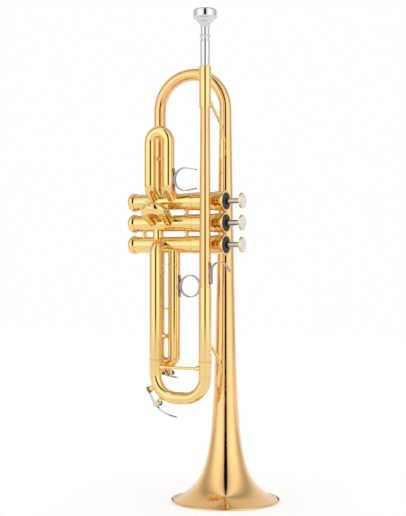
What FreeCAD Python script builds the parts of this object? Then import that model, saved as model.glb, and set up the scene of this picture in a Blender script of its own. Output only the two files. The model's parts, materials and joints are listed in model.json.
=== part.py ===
"""A B-flat trumpet standing on its bell, built piece by piece in millimetres.

The origin is the centre of the bell mouth. +Z runs up the bell's axis to the mouthpiece, +X points
to the finger buttons and -Y to the side of the leadpipe.
"""
import FreeCAD, Part
import math
import os
import re
import Sketcher
from FreeCAD import Rotation, Vector

SIZES = {
    # tubing: radii of the slides and of the plain tubes
    "bore": 5.85,
    "inner_r": 6.35,
    "slide_fit": 0.05,
    "sleeve_wall": 0.55,
    "crook_r": 6.7,
    "bead_r": 7.8,
    "bead_wide": 1.8,
    "run_gap": 0.3,
    # bell
    "bell_rim_r": 61.5,
    "bell_bead_r": 1.25,
    "bell_wall": 0.6,
    "bell_flare_top": 150.0,
    "bell_stem_top": 441.5,
    "bell_throat_r": 13.1,
    "bell_taper": 0.0148,
    "bell_flare_spread": 21208.907741251325,
    "bell_flare_shift": 49.8,
    "bell_flare_power": 2.535,
    "bell_bow_r": 40.26,
    "bell_bow_turn": 4.27,
    "bell_bow_tube_r": 6.75,
    "bell_tail_top": 400.0,
    "bell_tail_bend": 8.0,
    # valves: axes run along X, one below the other
    "valve_y": -22.5,
    "valve_one_z": 336.6,
    "valve_gap": 24.25,
    "casing_bore": 8.45,
    "casing_r": 9.2,
    "casing_top_r": 10.1,
    "casing_bottom_x": -106.0,
    "casing_swell_x": -45.0,
    "casing_joint_x": -29.0,
    "casing_groove": 0.35,
    "casing_top_x": 3.0,
    "bottom_cap_r": 10.5,
    "bottom_cap_skirt": 4.5,
    "bottom_cap_dome": 4.0,
    "vent_r": 2.0,
    "top_cap_wall": 0.6,
    "top_cap_skirt": 5.0,
    "top_cap_floor": 5.5,
    "top_cap_recess": 3.0,
    "top_cap_rim_r": 11.5,
    "felt_r": 9.5,
    "felt_bore": 4.2,
    "felt_thick": 3.5,
    "stem_r": 3.0,
    "stem_fit": 0.08,
    "piston_fit": 0.05,
    "piston_bottom_x": -88.0,
    "piston_length": 50.0,
    "piston_wall": 0.6,
    "barrel_gap": 1.05,
    "barrel_wall": 0.7,
    "barrel_top_x": 2.4,
    "barrel_floor": 2.0,
    "slot_wide": 5.4,
    "slot_length": 21.5,
    "guide_x": -35.5,
    "guide_thick": 1.8,
    "guide_wide": 4.6,
    "stem_tip_x": 30.2,
    "button_under_x": 28.7,
    "button_r": 8.8,
    "button_tall": 3.5,
    "pearl_r": 7.9,
    "pearl_deep": 1.3,
    "pearl_dome": 0.7,
    "spring_wire": 0.35,
    "spring_gap": 0.95,
    "spring_turns": 9.0,
    "brace_post_r": 3.1,
    "brace_low_x": -91.3,
    "brace_high_x": -37.3,
    "cross_one_x": -66.6,
    "cross_two_x": -73.7,
    # leadpipe, receiver and mouthpiece
    "lead_x": -4.2,
    "lead_y": -44.0,
    "receiver_top": 484.0,
    "receiver_bottom": 438.6,
    "receiver_top_r": 6.85,
    "receiver_low_r": 6.45,
    "lead_top": 457.0,
    "lead_top_r": 5.3,
    "lead_low_r": 6.4,
    "lead_taper_end": 276.0,
    "lead_venturi": 4.4,
    "lead_seat": 11.0,
    "mouth_top": 546.5,
    "mouth_rim_r": 13.45,
    "mouth_cup_r": 8.3,
    "mouth_cup_deep": 12.0,
    "mouth_throat": 1.85,
    "mouth_neck_r": 4.95,
    "mouth_bead_z": 517.0,
    "mouth_bead_r": 6.15,
    "shoulder_z": 510.0,
    "shoulder_r": 5.65,
    "shank_tip_z": 459.5,
    "shank_tip_r": 4.65,
    "shank_fit": 0.05,
    # main tuning slide
    "upper_sleeve_top": 241.6,
    "sleeve_bottom": 158.5,
    "main_spacing": 61.4,
    "main_bow_r": 25.3,
    "main_bow_lead": 1.0,
    "main_bow_bottom": 117.9,
    "main_leg_top": 222.0,
    "third_entry_bend": 9.7,
    "main_brace_z": 151.5,
    "main_brace_rod": 1.6,
    "main_brace_socket": 3.0,
    "main_brace_socket_deep": 5.0,
    # first slide
    "first_y": -38.0,
    "first_left_x": -75.5,
    "first_spacing": 22.8,
    "first_bow_z": 403.5,
    "first_left_top": 396.5,
    "first_elbow_top": 355.2,
    "first_bend": 7.5,
    "first_leg_in": 40.0,
    "first_tube_top": 395.0,
    # second slide: leaves its valve at an angle above level
    "second_mid_x": -66.6,
    "second_spacing": 20.0,
    "second_rise": 28.7,
    "second_sleeve_end": 20.0,
    "second_bow_start": 24.7,
    "second_leg_in": 10.2,
    "second_knob_r": 2.6,
    "second_knob_out": 6.0,
    # third slide
    "third_mid_x": -63.2,
    "third_spacing": 19.8,
    "third_ferrule_low": 265.2,
    "third_tube_low": 174.0,
    "third_joint_z": 164.0,
    "third_brace_z": 185.0,
    "third_brace_r": 3.6,
    "third_brace_waist": 1.7,
    "stop_rod_z": 216.0,
    "stop_rod_r": 1.2,
    "stop_knob_r": 2.5,
    # finger furniture
    "strip_thick": 1.2,
    "strip_wide": 4.5,
    "ring_r": 12.65,
    "ring_z": 241.8,
    "saddle_r": 12.6,
    "saddle_z": 361.0,
    "saddle_arm": 12.5,
    "saddle_close": 9.0,
    "hook_foot_z": 245.0,
    "hook_rise": 14.0,
    "hook_bend": 10.1,
    "hook_tip": 6.5,
    "foot_thick": 1.0,
    # S braces between leadpipe and bell
    "s_wire_r": 1.7,
    "s_upper_z": 449.0,
    "s_lower_z": 182.0,
    "s_fall": 40.0,
    "s_bend": 14.0,
    "s_foot_tall": 35.0,
    "s_foot_wide": 8.0,
    "tail_brace_z": 387.0,
    # water keys
    "key_nipple_r": 3.2,
    "key_nipple_out": 3.5,
    "key_nipple_bore": 1.5,
    "key_nipple_at": 27.4,
    "key_post_at": 55.0,
    "key_pivot_out": 7.1,
    "key_post_r": 2.4,
    "key_barrel_r": 2.0,
    "key_barrel_half": 2.2,
    "key_pin_r": 1.0,
    "key_pin_fit": 0.05,
    "key_ear_r": 3.3,
    "key_ear_in": 4.6,
    "key_ear_thick": 1.1,
    "key_cork_r": 3.6,
    "key_cork_thick": 2.4,
    "key_cup_r": 4.1,
    "key_cup_thick": 1.0,
    "key_strip_wide": 4.2,
    "key_strip_thick": 1.1,
    "key_lever_start": 10.0,
    "key_lever_bend": 36.0,
    "key_lever_sweep": 50.0,
    "key_lever_tip": 7.0,
    "key_spring_r": 1.6,
    "key_spring_wire": 0.28,
    "key_spring_turns": 2.0,
    "small_nipple_out": 3.0,
    "small_nipple_at": 80.0,
    "small_post_at": 102.0,
    "small_pivot_out": 4.6,
    "small_lever": 18.0,
}

NAME = re.compile("|".join(r"\b%s\b" % name for name in sorted(SIZES, key=len, reverse=True)))
doc = FreeCAD.newDocument("trumpet")
nodes = []


def make_sheet():
    """Writes every driving dimension to the spreadsheet under its own alias."""
    sheet = doc.addObject("Spreadsheet::Sheet", "dims")
    for row, (alias, value) in enumerate(SIZES.items(), 1):
        cell = "B%d" % row
        sheet.set("A%d" % row, alias)
        sheet.set(cell, repr(value))
        sheet.setAlias(cell, alias)
    doc.recompute()
    return sheet


sheet = make_sheet()


def bound(text):
    """Turns plain size names into references to the spreadsheet."""
    return NAME.sub(lambda found: "dims." + found.group(0), str(text))


def value(text):
    """The number that an expression in size names gives now."""
    result = sheet.evalExpression(bound(text))
    return float(getattr(result, "Value", result))


def bind(item, **settings):
    """Binds properties of an object to expressions in size names."""
    for prop, text in settings.items():
        item.setExpression(prop, bound(text))


def place(item, x="0", y="0", z="0", turn=Rotation()):
    """Turns an object, then ties its base point to expressions."""
    item.Placement = FreeCAD.Placement(Vector(value(x), value(y), value(z)), turn)
    for axis, text in zip("xyz", (x, y, z)):
        item.setExpression(".Placement.Base." + axis, bound(text))
    return item


def facing(ahead, side=None):
    """A turn that sends local Z to ahead and local X to side."""
    ahead = Vector(*ahead)
    if side is None:
        return Rotation(Vector(0, 0, 1), ahead)
    side = Vector(*side)
    return Rotation(side, ahead.cross(side), ahead, "ZXY")


ALONG_X = facing((1, 0, 0), (0, 0, -1))
ALONG_Y = facing((0, 1, 0), (1, 0, 0))


def origin_plane(body, role):
    return next(item for item in body.Origin.OriginFeatures if item.Role == role)


def new_sketch(body, name, role):
    sketch = body.newObject("Sketcher::SketchObject", name)
    sketch.AttachmentSupport = (origin_plane(body, role), [""])
    sketch.MapMode = "FlatFace"
    return sketch


def constrain(sketch, text, *args):
    """Adds a dimension whose size follows an expression."""
    size = value(text)
    if args[0] in ("Angle",):
        index = sketch.addConstraint(Sketcher.Constraint(*args, math.radians(size)))
    else:
        index = sketch.addConstraint(Sketcher.Constraint(*args, size))
    if NAME.search(str(text)):
        sketch.setExpression("Constraints[%d]" % index, bound(text))


def turned(label, outline, x="0", y="0", z="0", turn=Rotation()):
    """A lathe-turned piece; outline lists (radius, height) corners, a third item is an arc's radius.

    An arc's radius is positive where it bulges to the right of the way from corner to corner.
    """
    body = doc.addObject("PartDesign::Body", label)
    sketch = new_sketch(body, label + "_outline", "XZ_Plane")
    corners = [Vector(value(corner[0]), value(corner[1]), 0) for corner in outline]
    count = len(outline)
    edges = []
    for i, corner in enumerate(outline):
        start = corners[i - 1]
        end = corners[i]
        if len(corner) == 3:
            edges.append(add_arc(sketch, start, end, corner[2]))
        else:
            edges.append((sketch.addGeometry(Part.LineSegment(start, end)), 1, 2))
    for i in range(count):
        here = edges[i]
        after = edges[(i + 1) % count]
        sketch.addConstraint(Sketcher.Constraint("Coincident", here[0], here[2], after[0], after[1]))
    for edge, corner, point in zip(edges, outline, corners):
        if abs(point.x) < 1e-9:
            sketch.addConstraint(Sketcher.Constraint("PointOnObject", edge[0], edge[2], -2))
        else:
            constrain(sketch, corner[0], "DistanceX", -1, 1, edge[0], edge[2])
        if abs(point.y) < 1e-9:
            sketch.addConstraint(Sketcher.Constraint("PointOnObject", edge[0], edge[2], -1))
        else:
            constrain(sketch, corner[1], "DistanceY", -1, 1, edge[0], edge[2])
    doc.recompute()
    spin = body.newObject("PartDesign::Revolution", label + "_spin")
    spin.Profile = sketch
    spin.ReferenceAxis = (sketch, ["V_Axis"])
    spin.Angle = 360.0
    return place(body, x, y, z, turn)


def add_arc(sketch, start, end, radius_text):
    """Adds an arc between two corners and ties its radius; gives its edge with start and end."""
    bulge = value(radius_text)
    radius = abs(bulge)
    chord = end - start
    across = Vector(-chord.y, chord.x, 0).normalize()
    back = math.sqrt(max(radius ** 2 - (chord.Length / 2) ** 2, 0.0))
    centre = (start + end) * 0.5 + across * (back if bulge > 0 else -back)
    first, last = (start, end) if bulge > 0 else (end, start)
    circle = Part.Circle(centre, Vector(0, 0, 1), radius)
    angles = [math.atan2(p.y - centre.y, p.x - centre.x) for p in (first, last)]
    if angles[1] < angles[0]:
        angles[1] += 2 * math.pi
    edge = sketch.addGeometry(Part.ArcOfCircle(circle, *angles))
    constrain(sketch, str(radius_text).lstrip("-"), "Radius", edge)
    return (edge, 1, 2) if bulge > 0 else (edge, 2, 1)


def draw_path(sketch, moves):
    """Draws a path that starts at the origin heading up; moves are ("go", length) and
    ("turn", radius, angle), a positive angle turning to the right."""
    here = Vector(0, 0, 0)
    heading = 90.0
    last = None
    for move in moves:
        if move[0] == "go":
            step = Vector(math.cos(math.radians(heading)), math.sin(math.radians(heading)), 0)
            there = here + step * value(move[1])
            edge = (sketch.addGeometry(Part.LineSegment(here, there)), 1, 2)
            constrain(sketch, move[1], "Distance", edge[0])
            sketch.addConstraint(Sketcher.Constraint("Angle", edge[0], math.radians(heading)))
        else:
            radius = value(move[1])
            sweep = value(move[2])
            side = -1 if sweep > 0 else 1
            normal = Vector(-math.sin(math.radians(heading)), math.cos(math.radians(heading)), 0)
            centre = here + normal * (side * radius)
            begin = math.degrees(math.atan2(here.y - centre.y, here.x - centre.x))
            finish = begin - sweep
            angles = sorted((math.radians(begin), math.radians(finish)))
            circle = Part.Circle(centre, Vector(0, 0, 1), radius)
            arc = sketch.addGeometry(Part.ArcOfCircle(circle, *angles))
            edge = (arc, 2, 1) if sweep > 0 else (arc, 1, 2)
            constrain(sketch, move[1], "Radius", arc)
            turn = math.radians(finish)
            there = centre + Vector(math.cos(turn), math.sin(turn), 0) * radius
            heading -= sweep
        if last is None:
            sketch.addConstraint(Sketcher.Constraint("Coincident", edge[0], edge[1], -1, 1))
        elif move[0] == "turn" or last[3] == "turn":
            sketch.addConstraint(Sketcher.Constraint("Tangent", last[0], last[2], edge[0], edge[1]))
        last = (*edge, move[0])
        here = there
    return len(moves)


def circle_profile(sketch, radius):
    edge = sketch.addGeometry(Part.Circle(Vector(0, 0, 0), Vector(0, 0, 1), value(radius)))
    sketch.addConstraint(Sketcher.Constraint("Coincident", edge, 3, -1, 1))
    constrain(sketch, radius, "Radius", edge)


def strip_profile(sketch, thick, wide):
    """A centred rectangle, thick along local X and wide along local Y."""
    half_x = value(thick) / 2
    half_y = value(wide) / 2
    corners = [Vector(-half_x, -half_y, 0), Vector(half_x, -half_y, 0),
               Vector(half_x, half_y, 0), Vector(-half_x, half_y, 0)]
    for i in range(4):
        sketch.addGeometry(Part.LineSegment(corners[i], corners[(i + 1) % 4]))
    for i in range(4):
        sketch.addConstraint(Sketcher.Constraint("Coincident", i, 2, (i + 1) % 4, 1))
    for i, kind in enumerate(("Horizontal", "Vertical", "Horizontal", "Vertical")):
        sketch.addConstraint(Sketcher.Constraint(kind, i))
    constrain(sketch, thick, "DistanceX", 0, 1, 0, 2)
    constrain(sketch, wide, "DistanceY", 1, 1, 1, 2)
    sketch.addConstraint(Sketcher.Constraint("Symmetric", 0, 1, 1, 2, -1, 1))


def piped(label, moves, profile, x="0", y="0", z="0", ahead=(0, 0, 1), side=(1, 0, 0)):
    """A piece swept along a flat path that starts along ahead and turns right towards side.

    profile is ("tube", outer, inner), ("rod", radius) or ("strip", thick, wide).
    """
    body = doc.addObject("PartDesign::Body", label)
    spine = new_sketch(body, label + "_path", "XZ_Plane")
    count = draw_path(spine, moves)
    section = new_sketch(body, label + "_section", "XY_Plane")
    if profile[0] == "strip":
        strip_profile(section, profile[1], profile[2])
    else:
        for radius in profile[1:]:
            circle_profile(section, radius)
    doc.recompute()
    sweep = body.newObject("PartDesign::AdditivePipe", label + "_sweep")
    sweep.Profile = section
    sweep.Spine = (spine, ["Edge%d" % (i + 1) for i in range(count)])
    return place(body, x, y, z, facing(ahead, side))


def tube(label, outer, inner, low, high, x, y, turn=Rotation(), z="0"):
    """A straight tube between two heights along its own axis."""
    outline = [(inner, low), (outer, low), (outer, high), (inner, high)]
    return turned(label, outline, x, y, z, turn)


def cylinder(label, radius, height, x, y, z, turn=Rotation()):
    item = doc.addObject("Part::Cylinder", label)
    bind(item, Radius=radius, Height=height)
    return place(item, x, y, z, turn)


def cut(label, base, *tools):
    """Takes tools from a base, one after the other."""
    for i, tool in enumerate(tools):
        step = doc.addObject("Part::Cut", label if i == len(tools) - 1 else "%s_step%d" % (label, i))
        step.Base = base
        step.Tool = tool
        base = step
    return base


def fuse(label, *pieces):
    item = doc.addObject("Part::MultiFuse", label)
    item.Shapes = list(pieces)
    return item


def common(label, *pieces):
    item = doc.addObject("Part::MultiCommon", label)
    item.Shapes = list(pieces)
    return item


def group(label, *pieces):
    item = doc.addObject("Part::Compound", label)
    item.Links = list(pieces)
    return item


def node(item, name):
    """Marks an object as one named sub-part that is written to its own file."""
    item.Label = name
    nodes.append((name, item))
    return item


VALVES = ("1", "2", "3")


def valve_z(number):
    return "valve_one_z - valve_gap * %d" % (int(number) - 1)


SLEEVE_R = "(inner_r + slide_fit + sleeve_wall)"
SLEEVE_BORE = "(inner_r + slide_fit)"
BARREL_R = "(casing_bore - barrel_gap)"
SPRING_R = "(casing_bore - barrel_gap - barrel_wall - spring_gap - spring_wire)"


# ---- bell ----------------------------------------------------------------------------------------

def bell_radius(height):
    """Outer radius of the bell at a height: a slow taper plus a flare that falls off with height."""
    throat = value("bell_throat_r")
    gain = value("bell_flare_spread") * (value("bell_rim_r") - value("bell_bead_r") - throat)
    flare = gain / (height + value("bell_flare_shift")) ** value("bell_flare_power")
    return throat - value("bell_taper") * height + flare


def bell_heights(low, high, count):
    """Heights spaced closely near the mouth, where the curve bends most."""
    steps = [low + (high - low) * (i / (count - 1)) ** 2 for i in range(count)]
    return steps


def bell_shell(low, high, count, wall):
    """A solid of revolution under the bell curve between two heights; wall None leaves it full."""
    points = [Vector(bell_radius(h), 0, h) for h in bell_heights(low, high, count)]
    curve = Part.BSplineCurve()
    curve.interpolate(points)
    outer = curve.toShape()
    if wall is None:
        inner_points = [points[-1], Vector(0, 0, high), Vector(0, 0, low), points[0]]
        edges = [Part.LineSegment(a, b).toShape() for a, b in zip(inner_points, inner_points[1:])]
        wire = Part.Wire([outer] + edges)
    else:
        inset = [Vector(p.x - wall, 0, p.z) for p in points]
        inner = Part.BSplineCurve()
        inner.interpolate(inset)
        edges = [outer,
                 Part.LineSegment(points[-1], inset[-1]).toShape(),
                 inner.toShape(),
                 Part.LineSegment(inset[0], points[0]).toShape()]
        wire = Part.Wire(Part.__sortEdges__(edges))
    return Part.Face(wire).revolve(Vector(0, 0, 0), Vector(0, 0, 1), 360)


def make_bell():
    """The spun flare with its rolled rim, and the long stem above it."""
    rim = value("bell_rim_r")
    bead = value("bell_bead_r")
    wall = value("bell_wall")
    top = value("bell_flare_top")
    low = next(h / 100 for h in range(2000) if bell_radius(h / 100) <= rim - bead)
    shell = bell_shell(low, top, 14, wall)
    ring = Part.makeTorus(rim - bead, bead, Vector(0, 0, bead))
    land = Part.makeCylinder(rim - bead * 0.55, bead, Vector(0, 0, 0))
    land = land.cut(Part.makeCylinder(rim - bead * 1.45, bead, Vector(0, 0, 0)))
    flare = doc.addObject("Part::Feature", "flare")
    flare.Shape = shell.fuse([ring, land]).removeSplitter()
    node(flare, "bell_flare")
    stem = doc.addObject("Part::Feature", "stem")
    stem.Shape = bell_shell(top, value("bell_stem_top"), 8, wall)
    node(stem, "bell_stem")
    envelope = doc.addObject("Part::Feature", "bell_envelope")
    full = bell_shell(low, top, 14, None)
    envelope.Shape = full.fuse(bell_shell(top, value("bell_stem_top"), 8, None))
    return envelope


TAIL_X = "(-2 * bell_bow_r * cos(bell_bow_turn))"
TAIL_Y = "(-2 * bell_bow_r * sin(bell_bow_turn))"


def make_bell_bow(casings):
    """The half-circle over the top and the tail that runs down into valve 1."""
    lean = math.radians(value("bell_bow_turn"))
    side = (-math.cos(lean), -math.sin(lean), 0)
    inner = "bell_bow_tube_r - bell_wall"
    moves = [("turn", "bell_bow_r", "180"), ("go", "bell_stem_top - bell_tail_top")]
    bow = piped("bow_pipe", moves, ("tube", "bell_bow_tube_r", inner),
                z="bell_stem_top", side=side)
    node(bow, "bell_bow")
    moves = [("go", "bell_tail_top - valve_one_z - bell_tail_bend"),
             ("turn", "bell_tail_bend", "90"), ("go", "3")]
    tail = piped("tail_pipe", moves, ("tube", "bell_bow_tube_r", inner),
                 TAIL_X, TAIL_Y, "bell_tail_top", (0, 0, -1), (0, -1, 0))
    node(cut("tail_cut", tail, casings["1"]), "bell_tail")


# ---- valves --------------------------------------------------------------------------------------

def casing_outline(inner):
    """Half section of a casing: plain below, swelling to a wider upper part past a turned groove."""
    return [
        (inner, "casing_bottom_x"),
        ("casing_r", "casing_bottom_x"),
        ("casing_r", "casing_swell_x"),
        ("casing_top_r", "casing_joint_x"),
        ("casing_top_r", "casing_joint_x + 1"),
        ("casing_top_r - casing_groove", "casing_joint_x + 1.5"),
        ("casing_top_r", "casing_joint_x + 2"),
        ("casing_top_r", "casing_top_x"),
        (inner, "casing_top_x"),
    ]


def make_envelopes():
    """Full casings without a bore, which trim what is soldered on to them."""
    return {n: turned("envelope_" + n, casing_outline("0"), "0", "valve_y", valve_z(n), ALONG_X)
            for n in VALVES}


def port(label, x, number, ahead):
    """A round hole from a valve's axis out through one side of its casing."""
    return cylinder(label, "bore", "casing_top_r + 2", x, "valve_y", valve_z(number), facing(ahead))


def second_way():
    rise = math.radians(value("second_rise"))
    return (0, -math.cos(rise), math.sin(rise))


LOWER_X = "(lead_x - main_spacing)"
FIRST_X = ("first_left_x", "(first_left_x + first_spacing)")
SECOND_X = ("(second_mid_x - second_spacing / 2)", "(second_mid_x + second_spacing / 2)")
THIRD_X = ("(third_mid_x - third_spacing / 2)", "(third_mid_x + third_spacing / 2)")
UP = (0, 0, 1)
DOWN = (0, 0, -1)
NEAR = (0, -1, 0)
FAR = (0, 1, 0)
SLANT = (0, -math.sqrt(0.5), math.sqrt(0.5))


def make_casings():
    """The three casings with their ports."""
    ports = {
        "1": [(TAIL_X, FAR), (FIRST_X[0], SLANT), (FIRST_X[1], SLANT), ("cross_one_x", DOWN)],
        "2": [("cross_one_x", UP), (SECOND_X[0], second_way()), (SECOND_X[1], second_way()),
              ("cross_two_x", DOWN)],
        "3": [("cross_two_x", UP), (LOWER_X, NEAR), (THIRD_X[0], DOWN), (THIRD_X[1], DOWN)],
    }
    for number in VALVES:
        shell = turned("casing_shell_" + number, casing_outline("casing_bore"), "0", "valve_y",
                       valve_z(number), ALONG_X)
        holes = [port("port_%s_%d" % (number, i), x, number, way)
                 for i, (x, way) in enumerate(ports[number])]
        node(cut("casing_cut_" + number, shell, fuse("ports_" + number, *holes)),
             "valve_casing_" + number)


def make_caps():
    """Screwed caps at both ends of the casings and the felts in the top caps."""
    floor = "casing_bottom_x"
    bottom = [
        ("vent_r", floor),
        ("casing_r", floor),
        ("casing_r", floor + " + bottom_cap_skirt"),
        ("bottom_cap_r - 0.6", floor + " + bottom_cap_skirt"),
        ("bottom_cap_r", floor + " + bottom_cap_skirt - 1.2"),
        ("bottom_cap_r", floor + " + 0.6"),
        ("bottom_cap_r - 4.6", floor + " - bottom_cap_dome", "-5.4"),
        ("vent_r", floor + " - bottom_cap_dome"),
    ]
    high = "casing_top_x"
    skirt_r = "casing_top_r + top_cap_wall"
    seat = high + " + top_cap_floor"
    top = [
        ("stem_r + stem_fit", high),
        ("casing_top_r", high),
        ("casing_top_r", high + " - top_cap_skirt"),
        (skirt_r, high + " - top_cap_skirt"),
        (skirt_r, high + " + 1"),
        ("top_cap_rim_r", seat + " + 1"),
        ("top_cap_rim_r", seat + " + top_cap_recess"),
        ("felt_r + 0.1", seat + " + top_cap_recess"),
        ("felt_r + 0.1", seat),
        ("stem_r + stem_fit", seat),
    ]
    felt = [("felt_bore", seat), ("felt_r", seat), ("felt_r", seat + " + felt_thick"),
            ("felt_bore", seat + " + felt_thick")]
    for name, outline in (("bottom_cap", bottom), ("top_cap", top), ("top_cap_felt", felt)):
        items = [turned("%s_%s" % (name, n), outline, "0", "valve_y", valve_z(n), ALONG_X)
                 for n in VALVES]
        node(group(name + "_set", *items), name + "s")


def make_pistons():
    """Each piston with its slotted spring barrel and stem, its spring, button and pearl."""
    top = "(piston_bottom_x + piston_length)"
    run = "(casing_bore - piston_fit)"
    for n in VALVES:
        at = ("0", "valve_y", valve_z(n), ALONG_X)
        skin = [
            ("vent_r", "piston_bottom_x"),
            (run, "piston_bottom_x"),
            (run, top),
            (BARREL_R, top),
            (BARREL_R, "barrel_top_x"),
            ("stem_r", "barrel_top_x"),
            ("stem_r", "stem_tip_x"),
            ("0", "stem_tip_x"),
            ("0", "barrel_top_x - barrel_floor"),
            (BARREL_R + " - barrel_wall", "barrel_top_x - barrel_floor"),
            (BARREL_R + " - barrel_wall", top),
            (run + " - piston_wall", top + " - 1.5"),
            (run + " - piston_wall", "piston_bottom_x + 1.2"),
            ("vent_r", "piston_bottom_x + 1.2"),
        ]
        body = turned("piston_skin_" + n, skin, *at)
        slot = doc.addObject("Part::Box", "slot_" + n)
        bind(slot, Length="slot_length", Width="casing_bore * 2", Height="slot_wide")
        place(slot, top + " + 0.4", "valve_y - casing_bore", valve_z(n) + " - slot_wide / 2")
        ways = []
        for i, x in enumerate((-80.3, -66.6, -53.3)):
            start = "valve_y - casing_bore - 1"
            ways.append(cylinder("way_%s_%d" % (n, i), "bore - 0.4", "casing_bore * 2 + 2",
                                 str(x), start, valve_z(n), facing(FAR)))
        node(cut("piston_cut_" + n, body, slot, fuse("ways_" + n, *ways)), "piston_" + n)
        make_spring(n)
        make_button(n)
    bars = []
    for n in VALVES:
        bar = doc.addObject("Part::Box", "guide_bar_" + n)
        bind(bar, Length="guide_thick", Width="casing_bore * 2 - 0.1", Height="guide_wide")
        place(bar, "guide_x", "valve_y - casing_bore + 0.05", valve_z(n) + " - guide_wide / 2")
        hub = cylinder("guide_hub_" + n, SPRING_R + " + spring_wire", "guide_thick", "guide_x",
                       "valve_y", valve_z(n), facing((1, 0, 0)))
        bore = cylinder("guide_bore_" + n, "stem_r", "guide_thick + 2", "guide_x - 1", "valve_y",
                        valve_z(n), facing((1, 0, 0)))
        room = cylinder("guide_room_" + n, "casing_bore", "guide_thick + 2", "guide_x - 1",
                        "valve_y", valve_z(n), facing((1, 0, 0)))
        held = common("guide_held_" + n, fuse("guide_solid_" + n, bar, hub), room)
        bars.append(cut("guide_" + n, held, bore))
    node(group("guides", *bars), "spring_guides")


def make_spring(n):
    """A coil spring between the guide and the head of the barrel."""
    low = "(guide_x + guide_thick + spring_wire + 0.2)"
    high = "(barrel_top_x - barrel_floor - spring_wire - 0.2)"
    body = coil("spring_coil_" + n, SPRING_R, "spring_wire", "%s - %s" % (high, low),
                "spring_turns")
    place(body, low, "valve_y", valve_z(n), ALONG_X)
    node(body, "valve_spring_" + n)


def coil(label, radius, wire, height, turns):
    """A helical spring about local Z that starts at local zero."""
    body = doc.addObject("PartDesign::Body", label)
    section = new_sketch(body, label + "_section", "XZ_Plane")
    edge = section.addGeometry(Part.Circle(Vector(value(radius), 0, 0), Vector(0, 0, 1), value(wire)))
    section.addConstraint(Sketcher.Constraint("PointOnObject", edge, 3, -1))
    constrain(section, radius, "DistanceX", -1, 1, edge, 3)
    constrain(section, wire, "Radius", edge)
    doc.recompute()
    helix = body.newObject("PartDesign::AdditiveHelix", label + "_helix")
    helix.Profile = section
    helix.ReferenceAxis = (section, ["V_Axis"])
    helix.Mode = "height-turns-angle"
    helix.Height = value(height)
    helix.Turns = value(turns)
    bind(helix, Height=height, Turns=turns)
    return body


def make_button(n):
    """A dished finger button screwed on to the stem, with a round pearl set in its face."""
    under = "button_under_x"
    face = "button_under_x + button_tall"
    cup = [
        ("0", "stem_tip_x"),
        ("stem_r", "stem_tip_x"),
        ("stem_r", under),
        ("stem_r + 1.6", under),
        ("button_r", under + " + 1.4", "7"),
        ("button_r", face + " - 0.6"),
        ("button_r - 0.6", face),
        ("pearl_r", face),
        ("pearl_r", face + " - pearl_deep"),
        ("0", face + " - pearl_deep"),
    ]
    node(turned("cup_" + n, cup, "0", "valve_y", valve_z(n), ALONG_X), "finger_button_" + n)
    pearl = [
        ("0", face + " - pearl_deep"),
        ("pearl_r", face + " - pearl_deep"),
        ("pearl_r", face),
        ("pearl_r - 2", face + " + pearl_dome", "4"),
        ("0", face + " + pearl_dome"),
    ]
    node(turned("pearl_" + n, pearl, "0", "valve_y", valve_z(n), ALONG_X), "button_pearl_" + n)


def make_casing_links(casings):
    """Crossover tubes between neighbouring valves and the short posts that brace them."""
    crossings = []
    for i, (upper, x) in enumerate((("1", "cross_one_x"), ("2", "cross_two_x"))):
        low = valve_z(str(int(upper) + 1))
        item = tube("cross_%d" % i, "inner_r", "bore", "0", "valve_gap", x, "valve_y", z=low)
        crossings.append(cut("cross_cut_%d" % i, item, casings[upper], casings[str(int(upper) + 1)]))
    node(group("crossings", *crossings), "crossover_tubes")
    posts = []
    outline = [("0", "0"), ("brace_post_r", "0"), ("brace_post_r", "casing_r + 1.2"),
               ("brace_post_r - 1", "casing_r + 1.8"),
               ("brace_post_r - 1", "valve_gap - casing_r - 1.8"),
               ("brace_post_r", "valve_gap - casing_r - 1.2"), ("brace_post_r", "valve_gap"),
               ("0", "valve_gap")]
    for upper in ("1", "2"):
        for x in ("brace_low_x", "brace_high_x"):
            name = "post_%s_%s" % (upper, x)
            low = valve_z(str(int(upper) + 1))
            post = turned(name, outline, x, "valve_y", low)
            posts.append(cut(name + "_cut", post, casings[upper], casings[str(int(upper) + 1)]))
    node(group("posts", *posts), "casing_braces")


# ---- leadpipe side -------------------------------------------------------------------------------

def shank_radius(height):
    """Radius of the tapered mouthpiece shank at a height, as an expression."""
    grow = "(shoulder_r - shank_tip_r) / (shoulder_z - shank_tip_z)"
    return "(shank_tip_r + (%s - shank_tip_z) * %s)" % (height, grow)


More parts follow.
